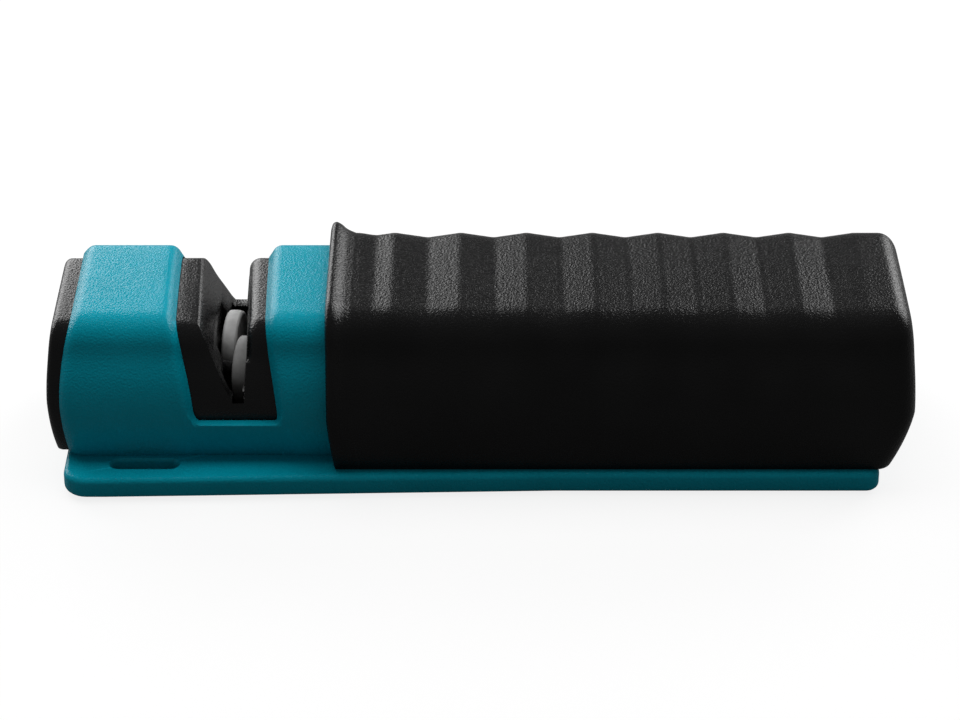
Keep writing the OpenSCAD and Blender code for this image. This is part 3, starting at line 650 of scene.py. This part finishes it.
# Hollows: the large one's left end and half the bay's width, from the blade, the skin of the right
# lobe, and half the pocket's length
HOLLOW_LEFT, BAY_HALF, LOBE_SKIN, POCKET_HALF = 2.9, 4.6, 0.9, 15.0
# The right lobe's rim is rounded by LOBE_BEVEL where it lies above LOBE_EDGE_Z, within LOBE_REACH
# of the slot's edge and between a face that looks left and one that looks away from LOBE_MIDDLE_Z.
# The last two values are limits for the X of their normals
LOBE_BEVEL, LOBE_STEPS, LOBE_EDGE_Z, LOBE_REACH, LOBE_MIDDLE_Z = 2.3, 6, 27.5, 1.6, 15
LOBE_LEFT_X, LOBE_OUT_X = -0.9, 0.3


def slot_points():
    """The slot's section as (x from the blade's line, z) points."""
    left, right = SLOT_LEFT - BLADE_X, SLOT_RIGHT - BLADE_X
    rise = GUIDE_TOP - LIP_Z
    keys = [(0, 1 - LOBE_DROP / rise)] + FLANK_KEYS
    points = [(left - LOBE_SLOPE, GUIDE_TOP + SLOT_OVER), (left - LOBE_SLOPE, GUIDE_TOP),
              (left, GUIDE_TOP - LOBE_DROP)]
    for k in range(1, FLANK_STEPS + 1):
        u = k / FLANK_STEPS
        points.append((left - u * (SLOT_HALF + left), LIP_Z + max(0.0, spline(keys, u)) * rise))
    return points + [(SLOT_HALF, LIP_Z), (right, GUIDE_TOP), (right, GUIDE_TOP + SLOT_OVER)]


def lobe_edge(edge):
    """Whether an edge is the outer rim of the right lobe, from just below the shoulder upwards."""
    middle = (edge.verts[0].co + edge.verts[1].co) / 2
    normals = [f.normal for f in edge.link_faces]
    if len(normals) != 2 or middle.z < LOBE_EDGE_Z * MM:
        return False
    if abs(middle.x - SLOT_RIGHT * MM) > LOBE_REACH * MM:
        return False
    across, outer = sorted(normals, key=lambda n: n.x)
    outwards = outer.y * middle.y + outer.z * (middle.z - LOBE_MIDDLE_Z * MM) > 0
    return across.x < LOBE_LEFT_X and abs(outer.x) < LOBE_OUT_X and outwards


def make_guide():
    obj = prism_x("knife_guide_piece", outline(GUIDE_LOAF), GUIDE_LEFT, GUIDE_RIGHT)
    skew = Matrix.Rotation(math.radians(SLOT_SKEW), 4, "Z")
    turn = Matrix.Translation((BLADE_X * MM, 0, 0)) @ skew
    points = slot_points()
    slot = stack("slot", [[(x, y, z) for x, z in points] for y in (-SLOT_REACH, SLOT_REACH)])
    slot.data.transform(turn)
    ramp = prism_x("ramp", [(y, LIP_Z + z) for y, z in RAMP], -RAMP_HALF, RAMP_HALF)
    ramp.data.transform(turn)
    hollow = [(y, max(z, GUIDE_FLOOR)) for y, z in outline(inset(GUIDE_LOAF, GUIDE_WALL))]
    room = CRADLE_HALF + GAP
    bay_top = FLOOR_Z + AXLE_H + WHEEL_R + WHEEL_ROOM
    lobe_x = SLOT_RIGHT - LOBE_SKIN
    bay_x = BLADE_X - BAY_HALF
    cut(obj, [
        prism_x("hollow", hollow, BLADE_X - HOLLOW_LEFT, lobe_x),
        box_piece("well", (bay_x, -room, LIP_Z), (lobe_x, room, GUIDE_TOP * 2)),
        box_piece("pocket", (BLADE_X, -POCKET_HALF, GUIDE_FLOOR),
                  (SLOT_RIGHT, POCKET_HALF, bay_top)),
        box_piece("room", (CRADLE_LEFT - GAP, -room, FLOOR_Z - OVER),
                  (CRADLE_RIGHT + GAP, room, FLOOR_Z + CRADLE_H + GAP)),
        box_piece("bay", (bay_x, -room, FLOOR_Z), (BLADE_X + BAY_HALF, room, bay_top)),
        slot, ramp])
    bevel_where(obj, lobe_edge, LOBE_BEVEL, LOBE_STEPS)
    round_edges(obj, GUIDE_EDGE, GUIDE_EDGE_STEPS)
    bake(obj)
    dress(obj, black, "knife_guide", sharp=45)


# ---------- base plate ----------
PLATE_LEFT, PLATE_RIGHT, PLATE_T, PLATE_EDGE = -89.05, 85.45, 4.8, 1.3
PLATE_TOP = PLATE_Z + PLATE_T
# Half width and corner radius at the head end and at the grip end
HEAD_END, GRIP_END = (31.4, 5.2), (28.9, 3)
# Where the plate begins and stops getting narrower, from its left end
TAPER_FROM, TAPER_TO = 9, 105
PLATE_CORNER_STEP, PLATE_EDGE_STEP = 6, 18
# Hanging slots: place from the plate's left end and middle line, half length, radius, the step of
# their round ends in degrees, and their flare as (extra radius, height from the plate's face)
HANG_X, HANG_Y, HANG_HALF, HANG_R, HANG_STEP = 17.2, 24.7, 5.4, 1.8, 10
HANG_FLARE = [(0.55, -0.2), (0.45, 0), (0.12, 0.35), (0, 0.8)]
# Places of the screws and the feet, as (x, y)
HEAD_SCREWS = [(x, y) for x in (-74.6, -34.95) for y in (-11.4, 11.4)]
GRIP_SCREWS = [(x, y) for x in (-13.55, 72.05) for y in (-14.5, 14.5)]
SHORT_SCREWS = [(-59.446, 0), (-45.438, 0)]
SHORT_SCREWS += [(x, y) for x in (-63.85, -45.5) for y in (-14.75, 14.75)]
FEET = [(x, s * y) for x, y in ((-83.4, 25.75), (79.8, 23.25)) for s in (-1, 1)]
# Radius and depth of the screws' wells and the feet's pockets, the bores' radius, and the corners
# of a round cutter
SCREW_WELL, FOOT_POCKET, BORE_R, ROUND_N = (3.0, 1.6), (3.8, 1.2), 1.75, 48


def plate_outline(d):
    """The plan outline of the plate, set in by d."""
    (wide, big), (narrow, small) = HEAD_END, GRIP_END
    corner = [cos_sin(a) for a in range(0, 91, PLATE_CORNER_STEP)]
    half = [(PLATE_RIGHT - small + (small - d) * c, narrow - small + (small - d) * s)
            for c, s in corner]
    half += [(PLATE_LEFT + TAPER_TO, narrow - d), (PLATE_LEFT + TAPER_FROM, wide - d)]
    half += [(PLATE_LEFT + big - (big - d) * s, wide - big + (big - d) * c) for c, s in corner]
    return half + [(x, -y) for x, y in reversed(half)]


def stadium(cx, cy, half_l, r, z):
    """An oblong ring at the height z, with round ends."""
    corner = [cos_sin(a) for a in range(-90, 91, HANG_STEP)]
    return [(cx + end * (half_l + r * c), cy + end * r * s, z)
            for end in (1, -1) for c, s in corner]


def drill(name, place, r, top):
    """A round cutter from below the plate up to the height top."""
    turns = [2 * math.pi * k / ROUND_N for k in range(ROUND_N)]
    return stack(name, [[(place[0] + r * math.cos(a), place[1] + r * math.sin(a), z) for a in turns]
                        for z in (PLATE_Z - OVER, top)])


def make_plate():
    quarter = [cos_sin(a) for a in range(0, 91, PLATE_EDGE_STEP)]
    levels = [(PLATE_EDGE * (1 - s), PLATE_Z + PLATE_EDGE * (1 - c)) for c, s in quarter]
    levels += [(PLATE_EDGE * (1 - c), PLATE_TOP - PLATE_EDGE * (1 - s)) for c, s in quarter]
    obj = stack("base_plate_piece", [[(x, y, z) for x, y in plate_outline(d)] for d, z in levels])
    rows = [(f, PLATE_Z + z) for f, z in HANG_FLARE]
    rows += [(f, PLATE_TOP - z) for f, z in reversed(HANG_FLARE)]
    cutters = [stack("slot", [stadium(PLATE_LEFT + HANG_X, side * HANG_Y, HANG_HALF, HANG_R + f, z)
                              for f, z in rows]) for side in (-1, 1)]
    for place in HEAD_SCREWS + GRIP_SCREWS + SHORT_SCREWS:
        cutters.append(drill("well", place, SCREW_WELL[0], PLATE_Z + SCREW_WELL[1]))
        cutters.append(drill("bore", place, BORE_R, PLATE_TOP + OVER))
    cutters += [drill("pocket", place, FOOT_POCKET[0], PLATE_Z + FOOT_POCKET[1]) for place in FEET]
    cut(obj, cutters)
    dress(obj, teal, "base_plate", sharp=35)


# ---------- grip sleeve ----------
# How far the top and the foot are drawn in at the right end and at the rim
GRIP_UP, GRIP_DOWN, RIM_UP, RIM_DOWN = -0.8, -4.3, -0.2, 1.6
RIM_W, RIM_H, NECK_SHARE = 5.4, 2.0, 0.75
# The rim's height as (share of its width, share of its height), and where its rings lie
RIM_KEYS = [(0, 0.45), (0.06, 0.85), (0.2, 1), (0.4, 0.8), (0.65, 0.35), (1, 0)]
RIM_SHARES = [0, 0.015, 0.04, 0.08, 0.13] + [0.2 + 0.8 * k / 14 for k in range(15)]
END_ROUND, END_TURN, END_STEPS = 4.0, 85, 12
GRIP_WALL, GRIP_L, INNER_START = 2.4, 125.0, 1
WAVE_PITCH, WAVE_START, WAVE_DEPTH, WAVE_COUNT = 14.56, 13.8, 0.8, 8
# Odd terms bring the wave close to a zigzag; the first wave starts with a short slope
WAVE_TERMS, WAVE_STEPS, FIRST_SLOPE = (1, 3, 5), 26, 3.8
# How much the coarse rows of the CAD source follow the waves, and their count on side and shoulder
ROW_KEYS, COARSE_SIDE, COARSE_SHOULDER = [0, 0, 0, 0, 0.05, 0.2, 0.5, 0.85] + [1] * 6, 6, 5


def wave(x):
    """The finger wave at x: slopes that are nearly flat, between softly rounded crests and valleys.
    It eases in from the rim to a short first slope, and stays level after the last crest."""
    rim_end, first = RIM_X + RIM_W, RIM_X + WAVE_START - FIRST_SLOPE
    if x < first:
        u = max(0.0, (x - rim_end) / (first - rim_end))
        return wave(first) * u * u * (3 - 2 * u)
    if x > RIM_X + WAVE_START + (WAVE_COUNT - 1) * WAVE_PITCH:
        return 0.0
    a = 2 * math.pi * (x - RIM_X - WAVE_START) / WAVE_PITCH
    total = sum(1 / k ** 2 for k in WAVE_TERMS)
    shape = sum(math.cos(k * a) / k ** 2 for k in WAVE_TERMS) / total
    return WAVE_DEPTH / 2 * (shape - 1)


def wave_share(i):
    """How much of the finger waves row i follows."""
    k = row_of(i)
    if k <= SIDE_N:
        coarse = COARSE_SIDE * k / SIDE_N
    else:
        coarse = COARSE_SIDE + COARSE_SHOULDER * (k - SIDE_N) / SHOULDER_N
    low = min(len(ROW_KEYS) - 2, int(coarse))
    return lerp(ROW_KEYS[low], ROW_KEYS[low + 1], coarse - low)


def grip_ring(x, d, waved=False):
    """The grip's outline at x, set in by d, with or without the finger waves."""
    s = (x - RIM_X) / GRIP_L
    up, down = GRIP_UP * s * s, GRIP_DOWN * s * s
    base = ring(inset(GRIP_LOAF, d), x, up, down)
    if not waved:
        return base
    low = ring(inset(GRIP_LOAF, d + 1), x, up, down)
    w = wave(x)
    return [tuple(b[c] + (b[c] - f[c]) * w * wave_share(i) for c in range(3))
            for i, (b, f) in enumerate(zip(base, low))]


def make_grip():
    outer, inner = [], []
    neck = inset(HEAD_LOAF, -GAP)
    for q in RIM_SHARES:
        swollen = swell(GRIP_LOAF, spline(RIM_KEYS, q) * RIM_H)
        outer.append(ring(swollen, RIM_X + q * RIM_W, RIM_UP, RIM_DOWN))
        inner.append(ring(neck, RIM_X + q * RIM_W * NECK_SHARE, RIM_UP, RIM_DOWN))
    start_x, end_x = RIM_X + RIM_W, TIP_RIGHT - END_ROUND
    step = WAVE_PITCH / WAVE_STEPS
    x = start_x + step
    waved = 0
    while x < end_x - step / 2:
        outer.append(grip_ring(x, 0, True))
        waved += 1
        x += step
    for k in range(END_STEPS + 1):
        c, s = cos_sin(END_TURN * k / END_STEPS)
        outer.append(grip_ring(end_x + END_ROUND * s, END_ROUND * (1 - c)))
    run = TIP_RIGHT - GRIP_WALL - start_x - INNER_START
    count = waved + END_STEPS
    for k in range(count + 1):
        inner.append(grip_ring(start_x + INNER_START + run * k / count, GRIP_WALL))
    obj = skin("grip_sleeve_piece", outer, inner, close_end=True)
    dress(obj, grip_black, "grip_sleeve", sharp=50)


make_head()
make_cap()
make_guide()
make_plate()
make_grip()

# ---------- CAD nodes that are carried over ----------
FINISH = {
    "wheel_cradle": black, "left_block": black, "right_block": black, "grip_core": black,
    "rear_wheel": ceramic_rear, "front_wheel": ceramic_front,
    "rear_bush": nylon, "front_bush": nylon,
    "rear_axle": steel, "front_axle": steel, "rear_washers": steel, "front_washers": steel,
    "head_screws": steel, "grip_screws": steel, "short_screws": steel,
    "rubber_feet": rubber}
for node, material in FINISH.items():
    set_material(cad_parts[node], material)

# ---------- camera ----------
ELEVATION, DISTANCE, TARGET_Z = math.radians(29.5), 0.75, 0.020
LENS, SENSOR, SHIFT_Y, CLIP = 128.8, 36, -12.5 / 960, (0.01, 100)
camera = add_object("camera", bpy.data.cameras.new("camera"))
bpy.context.scene.camera = camera
camera.location = (0, -DISTANCE * math.cos(ELEVATION), TARGET_Z + DISTANCE * math.sin(ELEVATION))
camera.rotation_euler = (math.pi / 2 - ELEVATION, 0, 0)
camera.data.lens = LENS
camera.data.sensor_width = SENSOR
camera.data.shift_y = SHIFT_Y
camera.data.clip_start, camera.data.clip_end = CLIP

# ---------- light ----------
LAMP_DISTANCE, AIM = 1.4, (0, 0, 0.03)


def softbox(name, place, size, power):
    data = bpy.data.lights.new(name, "AREA")
    data.shape = "RECTANGLE"
    data.size, data.size_y = size
    data.energy = power
    lamp = add_object(name, data)
    lamp.location = place
    lamp.rotation_euler = (Vector(AIM) - Vector(place)).to_track_quat("-Z", "Y").to_euler()
    return lamp


def from_azimuth(azimuth, elevation):
    """A lamp's place at an azimuth from +Y towards +X and an elevation, in degrees."""
    a, e = math.radians(azimuth), math.radians(elevation)
    return (LAMP_DISTANCE * math.sin(a) * math.cos(e), LAMP_DISTANCE * math.cos(a) * math.cos(e),
            LAMP_DISTANCE * math.sin(e))


softbox("left", from_azimuth(-32.5, 18), size=(1.18, 0.92), power=12.5)
softbox("right", from_azimuth(39, 22), size=(0.88, 0.76), power=9.0)
above = softbox("above", (0, 0.3, LAMP_DISTANCE), size=(1.6, 1.0), power=13.0)
above.visible_glossy = False

# Strength of the world as a light, and what glossy rays see of the world and of the pale floor
WORLD_LIGHT, WORLD_GLOSS, FLOOR_GLOSS = 0.12, 0.06, 0.04
# The floor's colour, glow towards the camera, half width in metres and cells along a side
FLOOR_GRAY, FLOOR_GLOW, FLOOR_HALF, FLOOR_CELLS = 0.2, 0.84, 6.0, 40


def background_strength(nodes, links, glossy_share, low, high):
    """The strength high for camera and transmission rays, glossy_share of the way from low to high
    for glossy rays, and low for the rest."""
    rays = nodes.new("ShaderNodeLightPath")
    seen = nodes.new("ShaderNodeMath")
    seen.operation = "MAXIMUM"
    links.new(rays.outputs["Is Camera Ray"], seen.inputs[0])
    links.new(rays.outputs["Is Transmission Ray"], seen.inputs[1])
    share = add_heights(nodes, links, seen.outputs[0], rays.outputs["Is Glossy Ray"], glossy_share)
    return spread(nodes, links, share, low, high, 0.0, 1.0)


world = bpy.data.worlds.new("studio")
bpy.context.scene.world = world
world.use_nodes = True
w_nodes, w_links = world.node_tree.nodes, world.node_tree.links
background = w_nodes["Background"]
background.inputs["Color"].default_value = (1, 1, 1, 1)
w_links.new(background_strength(w_nodes, w_links, WORLD_GLOSS, WORLD_LIGHT, 1.0),
            background.inputs["Strength"])


# ---------- floor ----------
def make_floor():
    n = FLOOR_CELLS
    marks = [-FLOOR_HALF + 2 * FLOOR_HALF * i / n for i in range(n + 1)]
    verts = [(x, y, 0.0) for y in marks for x in marks]
    faces = [(k, k + 1, k + n + 2, k + n + 1)
             for j in range(n) for k in range(j * (n + 1), j * (n + 1) + n)]
    mesh = bpy.data.meshes.new("floor")
    mesh.from_pydata(verts, [], faces)
    obj = add_object("floor", mesh)
    material, nodes, links, shader = new_material("floor", (FLOOR_GRAY,) * 3, roughness=0.9,
                                                 specular=0.0)
    shader.inputs["Emission Color"].default_value = (1, 1, 1, 1)
    links.new(background_strength(nodes, links, FLOOR_GLOSS, 0.0, FLOOR_GLOW),
              shader.inputs["Emission Strength"])
    obj.data.materials.append(material)


make_floor()

bpy.context.scene.view_settings.view_transform = "Standard"
